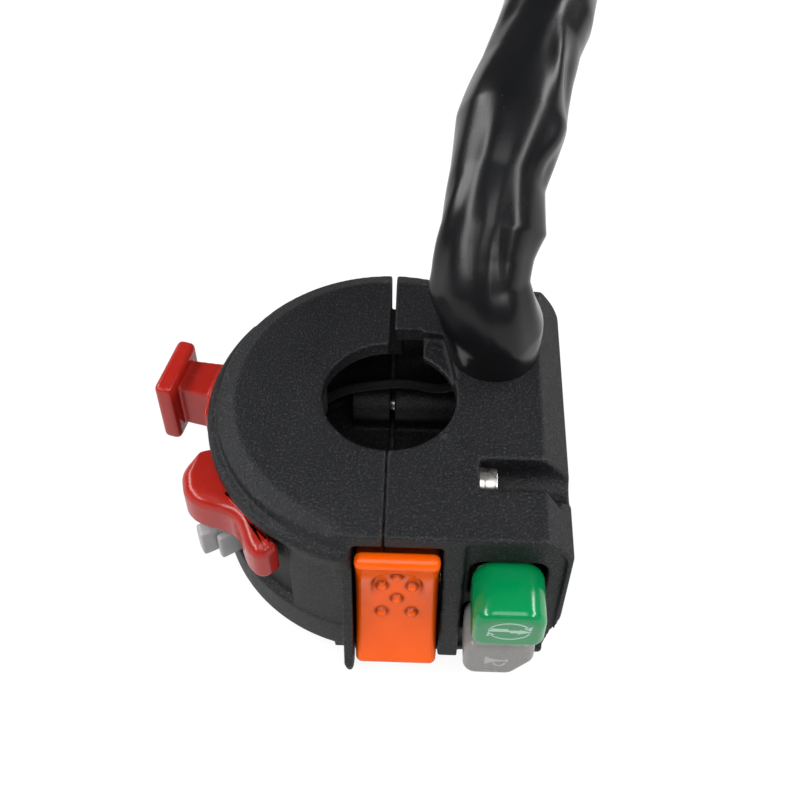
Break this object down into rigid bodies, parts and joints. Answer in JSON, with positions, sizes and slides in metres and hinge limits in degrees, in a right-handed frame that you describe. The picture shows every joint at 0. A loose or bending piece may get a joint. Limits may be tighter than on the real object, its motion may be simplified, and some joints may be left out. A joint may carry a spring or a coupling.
{
  "type": "handlebar switch cluster",
  "caption": "Two-part handlebar switch housing with a drum side, light rocker, push buttons, stop knob, kill rocker, turn slider and a sleeved cable with a plug.",
  "frame": {"origin": "on the axis of the handlebar bore, at the end face that the casing stands on", "axes": "+Z along the bar axis towards the cable outlet, -Y the way the push buttons face, -X towards the drum half"},
  "size_m": [0.1159, 0.2894, 0.0756],
  "materials": {
    "drum_plastic": "fine spark texture",
    "block_plastic": "fine spark texture",
    "steel": "zinc plated",
    "brass": "plain",
    "rubber": "matte",
    "wire": "extruded",
    "orange": "polished",
    "green": "polished",
    "grey": "satin",
    "light_grey": "satin",
    "red": "polished",
    "frame_plastic": "moulded",
    "board": "pressed laminate",
    "sleeve": "soft glossy sleeve",
    "plug": "moulded"
  },
  "bodies": {
    "casing": {"left_shell": "drum_plastic", "right_shell": "block_plastic", "clamp_screws": "steel", "clamp_washers": "steel", "thread_inserts": "brass", "cable_grommet": "rubber", "inner_wires": "wire", "light_pin": "steel", "light_frame": "frame_plastic", "light_contact": "brass", "push_base": "board", "push_terminals": "brass", "start_spring": "steel", "horn_spring": "steel", "stop_spring": "steel", "stop_frame": "frame_plastic", "stop_contacts": "brass", "kill_pin": "steel", "kill_frame": "frame_plastic", "kill_contact": "brass", "turn_board": "board", "turn_ball": "steel", "turn_spring": "steel", "harness_sleeve": "sleeve", "harness_wires": "wire", "plug_body": "plug", "plug_terminals": "brass"},
    "light_switch": {"light_rocker": "orange", "light_plunger": "steel", "light_spring": "steel"},
    "start_switch": {"start_button": "green", "start_contact": "brass"},
    "horn_switch": {"horn_button": "grey", "horn_contact": "brass"},
    "stop_switch": {"stop_knob": "red"},
    "kill_switch": {"kill_rocker": "red", "kill_plunger": "steel"},
    "turn_switch": {"turn_knob": "light_grey", "turn_carriage": "light_grey"}
  },
  "joints": [
    {"name": "light_rock", "type": "hinge", "parent": "casing", "child": "light_switch", "pos_m": [0.0022, -0.022, 0.0162], "axis": [1, 0, 0], "range_deg": [0, 15]},
    {"name": "start_push", "type": "slide", "parent": "casing", "child": "start_switch", "axis": [0, 1, 0], "range_m": [0, 0.0025], "stiffness_N_per_m": 400, "springref_m": -0.002, "deforming": ["start_spring"]},
    {"name": "horn_push", "type": "slide", "parent": "casing", "child": "horn_switch", "axis": [0, 1, 0], "range_m": [0, 0.0025], "stiffness_N_per_m": 400, "springref_m": -0.002, "deforming": ["horn_spring"]},
    {"name": "stop_push", "type": "slide", "parent": "casing", "child": "stop_switch", "axis": [0.9703, -0.2419, 0], "range_m": [0, 0.003], "stiffness_N_per_m": 400, "springref_m": -0.002, "deforming": ["stop_spring"]},
    {"name": "kill_rock", "type": "hinge", "parent": "casing", "child": "kill_switch", "pos_m": [-0.01876, -0.01242, 0.0244], "axis": [0, 0, 1], "range_deg": [-15, 0]},
    {"name": "turn_slide", "type": "hinge", "parent": "casing", "child": "turn_switch", "pos_m": [0, 0, 0.015], "axis": [0, 0, 1], "range_deg": [-10, 10]}
  ]
}
